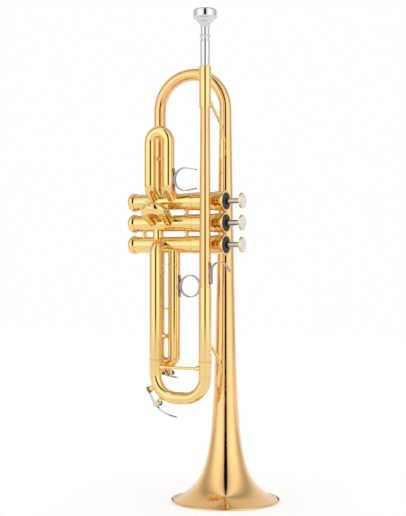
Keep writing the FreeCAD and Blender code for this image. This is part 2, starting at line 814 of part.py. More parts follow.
def make_leadpipe():
    """Receiver, tapered leadpipe and the outer sleeve of the tuning slide."""
    receiver = [
        ("lead_top_r", "receiver_bottom"),
        ("receiver_low_r", "receiver_bottom"),
        ("receiver_top_r", "receiver_top - 6"),
        ("receiver_top_r", "receiver_top - 0.6"),
        ("receiver_top_r - 0.5", "receiver_top"),
        (shank_radius("receiver_top") + " + shank_fit", "receiver_top"),
        ("shank_tip_r + shank_fit", "shank_tip_z"),
        ("shank_tip_r + shank_fit", "lead_top"),
        ("lead_top_r", "lead_top"),
    ]
    node(turned("receiver", receiver, "lead_x", "lead_y"), "mouthpiece_receiver")
    pipe = [
        ("bore", "upper_sleeve_top - lead_seat"),
        ("lead_low_r", "upper_sleeve_top - lead_seat"),
        ("lead_low_r", "lead_taper_end"),
        ("lead_top_r", "receiver_bottom"),
        ("lead_top_r", "lead_top"),
        ("lead_venturi", "lead_top"),
        ("lead_venturi", "receiver_bottom"),
        ("bore", "lead_taper_end"),
    ]
    node(turned("lead_tube", pipe, "lead_x", "lead_y"), "leadpipe")
    sleeve = [(SLEEVE_BORE, "sleeve_bottom"), ("bead_r - 0.5", "sleeve_bottom"),
              ("bead_r", "sleeve_bottom + 0.5"), ("bead_r", "sleeve_bottom + bead_wide - 0.5"),
              ("bead_r - 0.5", "sleeve_bottom + bead_wide"), (SLEEVE_R, "sleeve_bottom + bead_wide"),
              (SLEEVE_R, "upper_sleeve_top - 0.5"), (SLEEVE_R + " - 0.4", "upper_sleeve_top"),
              (SLEEVE_BORE, "upper_sleeve_top")]
    node(turned("upper_sleeve", sleeve, "lead_x", "lead_y"), "upper_slide_sleeve")


def bead(label, low, x, y):
    """The rolled ring at the mouth of a slide sleeve."""
    outline = [(SLEEVE_BORE, low), ("bead_r - 0.5", low), ("bead_r", low + " + 0.5"),
               ("bead_r", low + " + bead_wide - 0.5"), ("bead_r - 0.5", low + " + bead_wide"),
               (SLEEVE_BORE, low + " + bead_wide")]
    return turned(label, outline, x, y)


def make_lower_sleeve(casings):
    """The outer sleeve that carries the tuning slide's lower leg into valve 3."""
    moves = [("go", valve_z("3") + " - third_entry_bend - sleeve_bottom"),
             ("turn", "third_entry_bend", "90"), ("go", "5")]
    pipe = piped("lower_pipe", moves, ("tube", SLEEVE_R, SLEEVE_BORE), LOWER_X, "lead_y",
                 "sleeve_bottom", (0, 0, 1), FAR)
    ring = bead("lower_bead", "sleeve_bottom", LOWER_X, "lead_y")
    node(cut("lower_cut", fuse("lower_all", pipe, ring), casings["3"]), "lower_slide_sleeve")


def make_mouthpiece():
    """Rim, cup, throat, beaded neck and tapered shank, turned in one piece."""
    top = "mouth_top"
    outline = [
        ("mouth_throat", "mouth_top - mouth_cup_deep - 3", "-13"),
        ("mouth_throat", "mouth_top - mouth_cup_deep - 12"),
        ("shank_tip_r - 0.5", "shank_tip_z"),
        ("shank_tip_r", "shank_tip_z"),
        ("shoulder_r", "shoulder_z"),
        ("mouth_neck_r", "shoulder_z + 3"),
        ("mouth_neck_r", "mouth_bead_z - 1.4"),
        ("mouth_bead_r", "mouth_bead_z", "1.6"),
        ("mouth_neck_r", "mouth_bead_z + 1.4", "1.6"),
        ("mouth_neck_r", "mouth_top - 23"),
        ("mouth_neck_r + 4.2", "mouth_top - 13.5", "-9.5"),
        ("mouth_neck_r + 4.95", "mouth_top - 11.5"),
        ("mouth_rim_r - 0.9", "mouth_top - 9.6", "-3.4"),
        ("mouth_rim_r", "mouth_top - 8.4"),
        ("mouth_rim_r", "mouth_top - 2.6"),
        ("mouth_rim_r - 2.6", top, "2.65"),
        ("mouth_cup_r", "mouth_top - 1.8", "3.4"),
    ]
    node(turned("mouth_lathe", outline, "lead_x", "lead_y"), "mouthpiece")


# ---- main tuning slide ---------------------------------------------------------------------------

MAIN_JOINT = "(main_bow_bottom + main_bow_r + main_bow_lead)"


def make_main_slide():
    """The bow with its two legs and ferrules, and the rod that braces them."""
    moves = [("go", "main_bow_lead"), ("turn", "main_bow_r", "90"),
             ("go", "main_spacing - 2 * main_bow_r"), ("turn", "main_bow_r", "90"),
             ("go", "main_bow_lead")]
    bow = piped("main_bow", moves, ("tube", "crook_r", "bore"), "lead_x", "lead_y", MAIN_JOINT,
                DOWN, (-1, 0, 0))
    node(bow, "main_slide_bow")
    leg = [("bore", MAIN_JOINT), (SLEEVE_R, MAIN_JOINT), (SLEEVE_R, "sleeve_bottom - run_gap"),
           ("inner_r", "sleeve_bottom - run_gap"), ("inner_r", "main_leg_top"),
           ("bore", "main_leg_top")]
    legs = [turned("main_leg_%d" % i, leg, x, "lead_y") for i, x in enumerate(("lead_x", LOWER_X))]
    node(group("main_legs", *legs), "main_slide_legs")
    socket = "main_brace_socket"
    deep = "(main_brace_socket_deep + %s)" % SLEEVE_R
    rod = [("0", "0"), (socket, "0"), (socket, deep + " - 1"), ("main_brace_rod + 0.4", deep),
           ("main_brace_rod", deep), ("main_brace_rod", "main_spacing - " + deep),
           ("main_brace_rod + 0.4", "main_spacing - " + deep),
           (socket, "main_spacing - %s + 1" % deep), (socket, "main_spacing"), ("0", "main_spacing")]
    item = turned("main_rod", rod, LOWER_X, "lead_y", "main_brace_z", ALONG_X)
    ends = [cylinder("main_rod_end_%d" % i, SLEEVE_R, "20", x, "lead_y", "main_brace_z - 10")
            for i, x in enumerate(("lead_x", LOWER_X))]
    node(cut("main_rod_cut", item, *ends), "main_slide_brace")


def radial(angle):
    """A level-plane direction in XZ that points down and away, angle degrees below -X."""
    turn = math.radians(value(angle))
    return (-math.cos(turn), 0, -math.sin(turn))


def out_at(centre_x, centre_z, distance, angle):
    """Place at a distance from a crook's centre, in a direction angle below -X."""
    x = "%s - (%s) * cos(%s)" % (centre_x, distance, angle)
    z = "%s - (%s) * sin(%s)" % (centre_z, distance, angle)
    return x, z


def key_post(name, centre, y, crook_out, shell, nipple_at, nipple_out, post_at, pivot_out):
    """The nipple over the drain hole, the post, its barrel and the pivot screw."""
    nipple_dir = radial(nipple_at)
    x, z = out_at(*centre, crook_out + " - 2.5", nipple_at)
    nipple = cylinder(name + "_nipple", "key_nipple_r", nipple_out + " + 2.5", x, y, z,
                      facing(nipple_dir))
    drain = cylinder(name + "_drain", "key_nipple_bore", nipple_out + " + 9", x, y, z,
                     facing(nipple_dir))
    x, z = out_at(*centre, crook_out + " - 2.5", post_at)
    post = cylinder(name + "_post", "key_post_r", pivot_out + " + 2.5", x, y, z,
                    facing(radial(post_at)))
    x, z = out_at(*centre, crook_out + " + " + pivot_out, post_at)
    barrel = cylinder(name + "_barrel", "key_barrel_r", "2 * key_barrel_half", x,
                      y + " - key_barrel_half", z, facing(FAR))
    half = "(key_ear_in + key_ear_thick + 0.6)"
    pin = cylinder(name + "_pin", "key_pin_r", "2 * " + half, x, y + " - " + half, z, facing(FAR))
    trimmed = cut(name + "_trim", fuse(name + "_parts", nipple, post), shell)
    low = cut(name + "_low", trimmed, drain)
    return node(fuse(name + "_all", low, barrel, pin), name + "_post")


def key_lever(name, centre, y, crook_out, at, nipple_out, post_at, pivot_out, moves, bend_side):
    """The lever with its ears and pad cup, and the cork pad under the cup."""
    gap = "run_gap"
    pad = crook_out + " + " + nipple_out + " + " + gap
    x, z = out_at(*centre, pad, at)
    cork = cylinder(name + "_pad", "key_cork_r", "key_cork_thick", x, y, z, facing(radial(at)))
    node(cork, name + "_cork")
    x, z = out_at(*centre, pad + " + key_cork_thick", at)
    cup = cylinder(name + "_cup", "key_cup_r", "key_cup_thick", x, y, z, facing(radial(at)))
    x, z = out_at(*centre, pad + " + key_cork_thick + key_strip_thick / 2 + 0.1", at)
    turn = math.radians(value(at))
    ahead = (math.sin(turn), 0, -math.cos(turn))
    strip = piped(name + "_strip", moves, ("strip", "key_strip_thick", "key_strip_wide"), x, y, z,
                  ahead, bend_side)
    x, z = out_at(*centre, crook_out + " + " + pivot_out, post_at)
    ears = []
    for i, low in enumerate(("key_ear_in", "-key_ear_in - key_ear_thick")):
        ears.append(cylinder("%s_ear_%d" % (name, i), "key_ear_r", "key_ear_thick", x,
                             y + " + " + low, z, facing(FAR)))
    web = doc.addObject("Part::Box", name + "_web")
    bind(web, Length="key_ear_r", Width="2 * (key_ear_in + key_ear_thick)", Height="key_strip_thick")
    out = math.radians(value(post_at))
    tilt = facing(radial(post_at), (math.sin(out), 0, -math.cos(out)))
    wx, wz = out_at(*centre, "%s + %s + key_ear_r - key_strip_thick" % (crook_out, pivot_out), post_at)
    shift_x = "%s - key_ear_r / 2 * sin(%s)" % (wx, post_at)
    shift_z = "%s + key_ear_r / 2 * cos(%s)" % (wz, post_at)
    place(web, shift_x, y + " + key_ear_in + key_ear_thick", shift_z, tilt)
    hole = cylinder(name + "_eye", "key_pin_r + key_pin_fit", "20", x, y + " - 10", z, facing(FAR))
    solid = fuse(name + "_solid", cup, strip, web, *ears)
    node(cut(name + "_cut", solid, hole), name + "_lever")


def make_main_key():
    """The water key at the lower corner of the tuning slide's bow."""
    centre = ("(%s + main_bow_r)" % LOWER_X, "(main_bow_bottom + main_bow_r)")
    crook_out = "main_bow_r + crook_r"
    solid = solid_bow("main_bow_full", MAIN_JOINT)
    key_post("main_water_key", centre, "lead_y", crook_out, solid, "key_nipple_at",
             "key_nipple_out", "key_post_at", "key_pivot_out")
    moves = [("go", "key_lever_start"), ("turn", "key_lever_bend", "-key_lever_sweep"),
             ("go", "key_lever_tip")]
    turn = math.radians(value("key_nipple_at"))
    side = (-math.cos(turn), 0, -math.sin(turn))
    key_lever("main_water_key", centre, "lead_y", crook_out, "key_nipple_at", "key_nipple_out",
              "key_post_at", "key_pivot_out", moves, side)
    x, z = out_at(*centre, crook_out + " + key_pivot_out", "key_post_at")
    spring = coil("key_coil", "key_spring_r", "key_spring_wire",
                  "key_ear_in - key_barrel_half - 2 * key_spring_wire - 0.4", "key_spring_turns")
    place(spring, x, "lead_y + key_barrel_half + key_spring_wire + 0.2", z, facing(FAR))
    node(spring, "main_water_key_spring")


def solid_bow(label, joint):
    """The tuning bow without its bore, which trims what is soldered on to it."""
    moves = [("go", "main_bow_lead"), ("turn", "main_bow_r", "90"),
             ("go", "main_spacing - 2 * main_bow_r"), ("turn", "main_bow_r", "90"),
             ("go", "main_bow_lead")]
    return piped(label, moves, ("rod", "crook_r"), "lead_x", "lead_y", joint, DOWN, (-1, 0, 0))


# ---- valve slides --------------------------------------------------------------------------------

def make_first_slide(casings, bell):
    """Fixed tubes on valve 1 and the slide that runs up over them, with its thumb saddle."""
    left, right = FIRST_X
    bend = [("turn", "first_bend", "45"), ("go", "12")]
    fixed = piped("first_left_pipe", [("go", "first_left_top - first_elbow_top")] + bend,
                  ("tube", SLEEVE_R, SLEEVE_BORE), left, "first_y", "first_left_top", DOWN, FAR)
    node(cut("first_left_cut", fixed, casings["1"]), "first_slide_left_sleeve")
    elbow = piped("first_right_pipe", bend, ("tube", SLEEVE_R, "bore"), right, "first_y",
                  "first_elbow_top", DOWN, FAR)
    inner = tube("first_right_inner", "inner_r", "bore", "first_elbow_top", "first_tube_top",
                 right, "first_y")
    node(cut("first_right_cut", fuse("first_right_all", elbow, inner), casings["1"]),
         "first_slide_right_tube")
    bow = piped("first_bow", [("turn", "first_spacing / 2", "180")], ("tube", "crook_r", "bore"),
                right, "first_y", "first_bow_z", UP, (-1, 0, 0))
    node(bow, "first_slide_bow")
    leg = [("bore", "first_left_top - first_leg_in"), ("inner_r", "first_left_top - first_leg_in"),
           ("inner_r", "first_left_top + run_gap"), (SLEEVE_R, "first_left_top + run_gap"),
           (SLEEVE_R, "first_bow_z"), ("bore", "first_bow_z")]
    node(turned("first_leg", leg, left, "first_y"), "first_slide_inner_leg")
    sleeve = tube("first_sleeve", SLEEVE_R, SLEEVE_BORE, "first_elbow_top + run_gap", "first_bow_z",
                  right, "first_y")
    node(sleeve, "first_slide_outer_leg")
    make_saddle(right)


def lens_foot(label, x, y, z, tall, wide, ahead, around, axis_x, axis_y, tool):
    """A lens-shaped foot wrapped on a tube that stands along Z, facing ahead."""
    bow = "((%s * %s + %s * %s) / (4 * %s))" % (tall, tall, wide, wide, wide)
    lean = facing(ahead)
    across = Vector(0, 0, 1).cross(Vector(*ahead))
    discs = []
    for i, sign in enumerate((1, -1)):
        reach = "(%s - %s / 2) * %f" % (bow, wide, sign * across.x)
        reach_y = "(%s - %s / 2) * %f" % (bow, wide, sign * across.y)
        discs.append(cylinder("%s_disc_%d" % (label, i), bow, around + " + 4",
                              "%s + %s" % (x, reach), "%s + %s" % (y, reach_y), z, lean))
    wrap = cylinder(label + "_wrap", around + " + foot_thick", tall, axis_x, axis_y,
                    "%s - %s / 2" % (z, tall))
    return cut(label + "_foot", common(label + "_lens", *discs, wrap), tool)


def make_saddle(right):
    """The thumb saddle: an open U of strip on a lens-shaped foot."""
    around = SLEEVE_R
    gap = "%s + foot_thick + saddle_r" % around
    tool = cylinder("saddle_tool", around, "60", right, "first_y", "saddle_z - 30")
    elbow = piped("saddle_clear", [("turn", "first_bend", "45"), ("go", "12")],
                  ("rod", SLEEVE_R + " + run_gap"), right, "first_y",
                  "first_elbow_top + run_gap", DOWN, FAR)
    whole = lens_foot("saddle", right, "first_y", "saddle_z", "26", "8", (1, 0, 0), around, right,
                      "first_y", tool)
    foot = cut("saddle_foot_clear", whole, elbow)
    close = math.radians(value("saddle_close"))
    start_x = ("%s + %s + saddle_r * sin(saddle_close) + saddle_arm * cos(saddle_close)"
               % (right, gap))
    start_z = "saddle_z + saddle_r * cos(saddle_close) - saddle_arm * sin(saddle_close)"
    ahead = (-math.cos(close), 0, math.sin(close))
    side = (-math.sin(close), 0, -math.cos(close))
    moves = [("go", "saddle_arm"), ("turn", "saddle_r", "-180 - 2 * saddle_close"),
             ("go", "saddle_arm")]
    strip = piped("saddle_strip", moves, ("strip", "strip_thick", "strip_wide"), start_x, "first_y",
                  start_z, ahead, tuple(-v for v in side))
    node(fuse("saddle_all", foot, strip), "thumb_saddle")


def make_second_slide(casings):
    """Two short sleeves on valve 2 and the small slide in them."""
    way = second_way()
    turn = facing(way, (1, 0, 0))
    at = ("valve_y", valve_z("2"))
    sleeves = []
    legs = []
    for i, x in enumerate(SECOND_X):
        pipe = turned("second_sleeve_%d" % i,
                      [(SLEEVE_BORE, "0"), (SLEEVE_R, "0"), (SLEEVE_R, "second_sleeve_end"),
                       (SLEEVE_BORE, "second_sleeve_end")], x, at[0], at[1], turn)
        sleeves.append(cut("second_sleeve_cut_%d" % i, pipe, casings["2"]))
        leg = [("bore", "second_leg_in"), ("inner_r", "second_leg_in"),
               ("inner_r", "second_sleeve_end + run_gap"), (SLEEVE_R, "second_sleeve_end + run_gap"),
               (SLEEVE_R, "second_bow_start"), ("bore", "second_bow_start")]
        legs.append(turned("second_leg_%d" % i, leg, x, at[0], at[1], turn))
    node(group("second_sleeves", *sleeves), "second_slide_sleeves")
    node(group("second_legs", *legs), "second_slide_legs")
    start_y = "valve_y - second_bow_start * cos(second_rise)"
    start_z = valve_z("2") + " + second_bow_start * sin(second_rise)"
    bow = piped("second_bow", [("turn", "second_spacing / 2", "180")], ("tube", "crook_r", "bore"),
                SECOND_X[0], start_y, start_z, way, (1, 0, 0))
    node(bow, "second_slide_bow")
    reach = "second_bow_start + second_spacing / 2"
    stalk = [("0", reach), ("1.8", reach), ("1.6", reach + " + crook_r + 2"),
             ("second_knob_r", reach + " + crook_r + 3"),
             ("second_knob_r", reach + " + crook_r + second_knob_out - 1"),
             ("second_knob_r - 1", reach + " + crook_r + second_knob_out"),
             ("0", reach + " + crook_r + second_knob_out")]
    knob = turned("second_stalk", stalk, "second_mid_x", at[0], at[1], turn)
    tool = piped("second_bow_full", [("turn", "second_spacing / 2", "180")], ("rod", "crook_r"),
                 SECOND_X[0], start_y, start_z, way, (1, 0, 0))
    node(cut("second_knob_cut", knob, tool), "second_slide_knob")


def make_third_slide(casings):
    """Fixed tubes under valve 3 and the long slide over them, with its ring, brace and stop."""
    top = valve_z("3")
    fixed = [("bore", "third_tube_low"), ("inner_r", "third_tube_low"),
             ("inner_r", "third_ferrule_low"), ("bead_r - 0.5", "third_ferrule_low"),
             ("bead_r", "third_ferrule_low + 0.5"),
             ("bead_r", "third_ferrule_low + bead_wide - 0.5"),
             ("bead_r - 0.5", "third_ferrule_low + bead_wide"),
             (SLEEVE_R, "third_ferrule_low + bead_wide"), (SLEEVE_R, top), ("bore", top)]
    tubes = [cut("third_fixed_cut_%d" % i, turned("third_fixed_%d" % i, fixed, x, "valve_y"),
                 casings["3"]) for i, x in enumerate(THIRD_X)]
    node(group("third_fixed", *tubes), "third_slide_fixed_tubes")
    sleeves = [tube("third_sleeve_%d" % i, SLEEVE_R, SLEEVE_BORE, "third_joint_z",
                    "third_ferrule_low - run_gap", x, "valve_y") for i, x in enumerate(THIRD_X)]
    node(group("third_sleeves", *sleeves), "third_slide_sleeves")
    bow = piped("third_bow", [("turn", "third_spacing / 2", "180")], ("tube", "crook_r", "bore"),
                THIRD_X[1], "valve_y", "third_joint_z", DOWN, (-1, 0, 0))
    node(bow, "third_slide_bow")
    tools = [cylinder("third_tool_%d" % i, SLEEVE_R, "120", x, "valve_y", "third_joint_z - 5")
             for i, x in enumerate(THIRD_X)]
    spool = [("0", "0"), ("third_brace_r", "0"), ("third_brace_r", SLEEVE_R + " + 0.6"),
             ("third_brace_waist", "third_spacing / 2"),
             ("third_brace_r", "third_spacing - %s - 0.6" % SLEEVE_R),
             ("third_brace_r", "third_spacing"), ("0", "third_spacing")]
    spool = turned("third_spool", spool, THIRD_X[0], "valve_y", "third_brace_z", ALONG_X)
    node(cut("third_spool_cut", spool, *tools), "third_slide_brace")
    rod = [("0", "0"), ("stop_rod_r", "0"), ("stop_rod_r", "third_spacing"), ("0", "third_spacing")]
    rod = turned("stop_rod", rod, THIRD_X[0], "valve_y", "stop_rod_z", ALONG_X)
    knob = [("0", "0"), ("stop_rod_r", "0"), ("stop_rod_r", SLEEVE_R + " + 1.5"),
            ("stop_knob_r", SLEEVE_R + " + 2"), ("stop_knob_r", SLEEVE_R + " + 4"),
            ("0", SLEEVE_R + " + 4")]
    knob = turned("stop_knob", knob, THIRD_X[0], "valve_y", "stop_rod_z",
                  facing((-1, 0, 0), (0, 0, 1)))
    node(cut("stop_cut", fuse("stop_all", rod, knob), *tools), "third_slide_stop_rod")
    make_ring(tools[1])
    make_third_key()


def make_ring(tool):
    """The finger ring on its lens-shaped foot."""
    right = THIRD_X[1]
    foot = lens_foot("ring", right, "valve_y", "ring_z", "25", "8", (1, 0, 0), SLEEVE_R, right,
                     "valve_y", tool)
    x = "%s + %s + foot_thick + ring_r - 0.4" % (right, SLEEVE_R)
    hoop = tube("ring_hoop", "ring_r", "ring_r - strip_thick", "-strip_wide / 2", "strip_wide / 2",
                x, "valve_y", ALONG_Y, "ring_z")
    node(cut("ring_cut", fuse("ring_all", foot, hoop), tool), "finger_ring")


def make_third_key():
    """The small water key under the third slide's bow."""
    centre = ("third_mid_x", "third_joint_z")
    crook_out = "third_spacing / 2 + crook_r"
    full = piped("third_bow_full", [("turn", "third_spacing / 2", "180")], ("rod", "crook_r"),
                 THIRD_X[1], "valve_y", "third_joint_z", DOWN, (-1, 0, 0))
    key_post("third_water_key", centre, "valve_y", crook_out, full, "small_nipple_at",
             "small_nipple_out", "small_post_at", "small_pivot_out")
    turn = math.radians(value("small_nipple_at"))
    side = (-math.cos(turn), 0, -math.sin(turn))
    key_lever("third_water_key", centre, "valve_y", crook_out, "small_nipple_at",
              "small_nipple_out", "small_post_at", "small_pivot_out",
              [("go", "small_lever")], side)


# ---- braces and hook -----------------------------------------------------------------------------

def make_hook():
    """The little-finger hook soldered to the leadpipe."""
    around = "lead_low_r"
    x = "lead_x + lead_low_r + foot_thick + strip_thick / 2 - 0.2"
    tool = cylinder("hook_tool", around, "40", "lead_x", "lead_y", "hook_foot_z - 5")
    moves = [("go", "hook_rise"), ("turn", "hook_bend", "150"), ("go", "hook_tip")]
    strip = piped("hook_strip", moves, ("strip", "strip_thick", "strip_wide"), x, "lead_y",
                  "hook_foot_z", UP, (1, 0, 0))
    foot = lens_foot("hook", "lead_x", "lead_y", "hook_foot_z + 11", "24", "7", (1, 0, 0), around,
                     "lead_x", "lead_y", tool)
    node(cut("hook_cut", fuse("hook_all", foot, strip), tool), "pinky_hook")


def make_s_brace(name, start_z, tube_r, tube_tool, bell):
    """A drawn wire that leaves the leadpipe slanting down and lands along the bell on a foot."""
    lean = math.radians(value("s_fall"))
    ahead = (0, math.cos(lean), -math.sin(lean))
    side = (0, -math.sin(lean), -math.cos(lean))
    reach = value("-lead_y") - bell_radius(value(start_z) - 25) - value("s_wire_r")
    bend = value("s_bend")
    straight = (reach - bend * (1 - math.sin(lean))) / math.cos(lean)
    land = value(start_z) - straight * math.sin(lean) - bend * math.cos(lean)
    moves = [("go", "%f" % straight), ("turn", "s_bend", "90 - s_fall"), ("go", "6")]
    wire = piped(name + "_wire", moves, ("rod", "s_wire_r"), "0", "lead_y", start_z, ahead, side)
    mid = "%f - s_foot_tall / 2 + 3" % land
    around = "%f" % bell_radius(land - value("s_foot_tall") / 2)
    foot = lens_foot(name, "0", "0", mid, "s_foot_tall", "s_foot_wide", NEAR, around, "0", "0", bell)
    whole = cut(name + "_whole", fuse(name + "_all", wire, foot), bell, tube_tool)
    return node(whole, name)


def make_braces(casings, bell):
    upper_tool = turned("upper_tool", [("0", "400"), ("lead_top_r", "400"),
                                       ("lead_top_r", "receiver_bottom"),
                                       ("receiver_low_r", "receiver_bottom"),
                                       ("receiver_top_r", "receiver_top - 6"),
                                       ("0", "receiver_top - 6")], "lead_x", "lead_y")
    make_s_brace("s_brace_upper", "s_upper_z", "receiver_low_r", upper_tool, bell)
    lower_tool = cylinder("lower_tool", SLEEVE_R, "upper_sleeve_top - sleeve_bottom", "lead_x",
                          "lead_y", "sleeve_bottom")
    make_s_brace("s_brace_lower", "s_lower_z", SLEEVE_R, lower_tool, bell)
    across = Vector(value(TAIL_X) - value("first_left_x"), value(TAIL_Y) - value("first_y"), 0)
    length = "sqrt((%s - first_left_x)^2 + (%s - first_y)^2)" % (TAIL_X, TAIL_Y)
    post = [("0", "0"), ("2.2", "0"), ("2.2", SLEEVE_R + " + 2"), ("1.5", SLEEVE_R + " + 3"),
            ("1.5", length + " - bell_bow_tube_r - 3"), ("3", length + " - bell_bow_tube_r - 2"),
            ("3", length), ("0", length)]
    item = turned("tail_post", post, "first_left_x", "first_y", "tail_brace_z",
                  Rotation(Vector(0, 0, 1), across))
    tail_tool = cylinder("tail_tool", "bell_bow_tube_r", "40", TAIL_X, TAIL_Y, "tail_brace_z - 20")
    leg_tool = cylinder("leg_tool", SLEEVE_R, "40", "first_left_x", "first_y", "tail_brace_z - 20")
    node(cut("tail_post_cut", item, tail_tool, leg_tool), "tail_brace")


def write_parts():
    """Checks every object, then writes each sub-part to its own file."""
    doc.recompute()
    for item in doc.Objects:
        bad = [word for word in ("Invalid", "Error") if word in item.State]
        if bad:
            raise RuntimeError("%s failed to build: %s" % (item.Label, bad))
    os.makedirs("parts", exist_ok=True)
    for name, item in nodes:
        shape = item.Shape
        if shape.isNull() or not shape.isValid():
            raise RuntimeError("%s has no valid shape" % name)
        shape.exportStep("parts/%s.step" % name)
        print(name, len(shape.Solids), round(shape.Volume, 1))
    print(len(nodes), "nodes")


casings = make_envelopes()
bell = make_bell()
make_bell_bow(casings)
make_casings()
make_caps()
make_pistons()
make_casing_links(casings)
make_leadpipe()
make_lower_sleeve(casings)
make_mouthpiece()
make_main_slide()
make_main_key()
make_first_slide(casings, bell)
make_second_slide(casings)
make_third_slide(casings)
make_hook()
make_braces(casings, bell)
write_parts()
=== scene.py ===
"""Looks of the trumpet: finishes for the CAD frame, solder lines, studio and camera."""
import json
import math

import bmesh
import bpy
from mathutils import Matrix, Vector


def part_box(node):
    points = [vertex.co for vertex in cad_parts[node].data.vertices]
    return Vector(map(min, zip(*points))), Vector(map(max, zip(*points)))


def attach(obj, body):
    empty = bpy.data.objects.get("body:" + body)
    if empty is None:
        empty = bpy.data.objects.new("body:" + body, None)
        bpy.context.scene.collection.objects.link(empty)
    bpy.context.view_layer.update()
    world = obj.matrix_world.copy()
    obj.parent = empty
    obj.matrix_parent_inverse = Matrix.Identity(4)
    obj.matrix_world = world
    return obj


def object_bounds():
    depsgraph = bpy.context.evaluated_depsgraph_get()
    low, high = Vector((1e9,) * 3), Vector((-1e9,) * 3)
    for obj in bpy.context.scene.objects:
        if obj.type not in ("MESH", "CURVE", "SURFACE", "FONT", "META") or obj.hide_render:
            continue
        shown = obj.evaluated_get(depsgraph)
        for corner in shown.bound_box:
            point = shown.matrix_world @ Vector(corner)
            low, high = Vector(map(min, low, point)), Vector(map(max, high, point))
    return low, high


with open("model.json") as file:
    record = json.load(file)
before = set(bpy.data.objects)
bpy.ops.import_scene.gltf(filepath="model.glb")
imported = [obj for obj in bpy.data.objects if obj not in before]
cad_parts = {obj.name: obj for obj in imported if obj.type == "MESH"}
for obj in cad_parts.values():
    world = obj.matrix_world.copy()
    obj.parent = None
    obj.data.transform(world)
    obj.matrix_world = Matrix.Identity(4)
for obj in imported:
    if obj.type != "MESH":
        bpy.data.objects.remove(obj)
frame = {"nodes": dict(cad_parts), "record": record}
cad_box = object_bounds()

MM = 0.001
CAMERA_AZIMUTH = 26.0
CAMERA_DISTANCE = 1.460
CAMERA_HEIGHT = 0.2734
CAMERA_AIM = 0.02535     # how far left of the bell's axis the camera points, in metres
LENS = 90.4
SENSOR = 36.0
ROUND = 96               # sides of a turned piece
SHARP_ANGLE = 32.0       # edges that bend more than this stay sharp
WELD = 1e-7

# raised solder lines, in mm: first line from the bow's end, next line, depth, height, half width
LINE_INSET = 1.2
LINE_GAP = 2.4
LINE_SUNK = 0.3
LINE_PROUD = 0.18
LINE_HALF = 0.3
# bow, its body, and whether its open end points up
JOINED_BOWS = (("main_slide_bow", "main_slide", True), ("third_slide_bow", "third_slide", True),
               ("first_slide_bow", "first_slide", False))

GLOSSY_STRENGTH = 1.5    # the tent as the metal reflects it
FILL_STRENGTH = 0.9      # the tent as it lights matt surfaces
FLOOR_SIZE = 6.0
FLOOR_GLOW = 0.25        # lifts the floor to white for the camera
FLOOR_SHEEN = 0.98       # the floor as the metal reflects it
# brightness round the tent, from the key direction (0) to straight behind (1)
BANKS = [(0.0, 0.0), (0.030, 0.0), (0.048, 0.0), (0.056, 0.10), (0.064, 0.56), (0.10, 0.70),
         (0.15, 0.80), (0.22, 1.0), (0.30, 1.0), (0.38, 0.86), (0.48, 0.56), (0.56, 0.42),
         (0.64, 0.40), (0.72, 0.60), (0.80, 0.70), (0.90, 0.66), (0.955, 0.50), (0.965, 0.06),
         (1.0, 0.0)]
# brightness by height, straight down (0) to overhead (1)
HEIGHTS = [(0.0, 0.62), (0.30, 0.80), (0.45, 1.0), (0.60, 1.0), (0.75, 0.86), (1.0, 0.70)]


# ---- shader helpers ------------------------------------------------------------------------------

def node_at(tree, kind, x, y, **settings):
    """Adds a shader node and sets its plain properties."""
    made = tree.nodes.new(kind)
    made.location = (x, y)
    for key, setting in settings.items():
        setattr(made, key, setting)
    return made


def ramp(tree, x, y, stops, source, smooth="LINEAR"):
    """A colour ramp from (position, grey) or (position, colour) stops."""
    made = node_at(tree, "ShaderNodeValToRGB", x, y)
    band = made.color_ramp
    band.interpolation = smooth
    while len(band.elements) < len(stops):
        band.elements.new(0.5)
    for element, (position, colour) in zip(band.elements, stops):
        element.position = position
        if not isinstance(colour, tuple):
            colour = (colour, colour, colour)
        element.color = (*colour, 1.0)
    tree.links.new(source, made.inputs["Fac"])
    return made


def noise(tree, x, y, scale, detail=4.0, rough=0.55, stretch=None):
    """Object-space noise, optionally stretched along an axis."""
    place = node_at(tree, "ShaderNodeTexCoord", x - 400, y)
    source = place.outputs["Object"]
    if stretch:
        mapping = node_at(tree, "ShaderNodeMapping", x - 200, y)
        mapping.inputs["Scale"].default_value = stretch
        tree.links.new(source, mapping.inputs["Vector"])
        source = mapping.outputs["Vector"]
    made = node_at(tree, "ShaderNodeTexNoise", x, y)
    made.inputs["Scale"].default_value = scale
    made.inputs["Detail"].default_value = detail
    made.inputs["Roughness"].default_value = rough
    tree.links.new(source, made.inputs["Vector"])
    return made.outputs["Fac"]


def new_material(name):
    material = bpy.data.materials.new(name)
    material.use_nodes = True
    tree = material.node_tree
    return material, tree, tree.nodes["Principled BSDF"]


def add_bump(tree, shader, heights, strength, distance):
    made = node_at(tree, "ShaderNodeBump", -200, -400)
    made.inputs["Strength"].default_value = strength
    made.inputs["Distance"].default_value = distance
    tree.links.new(heights, made.inputs["Height"])
    tree.links.new(made.outputs["Normal"], shader.inputs["Normal"])


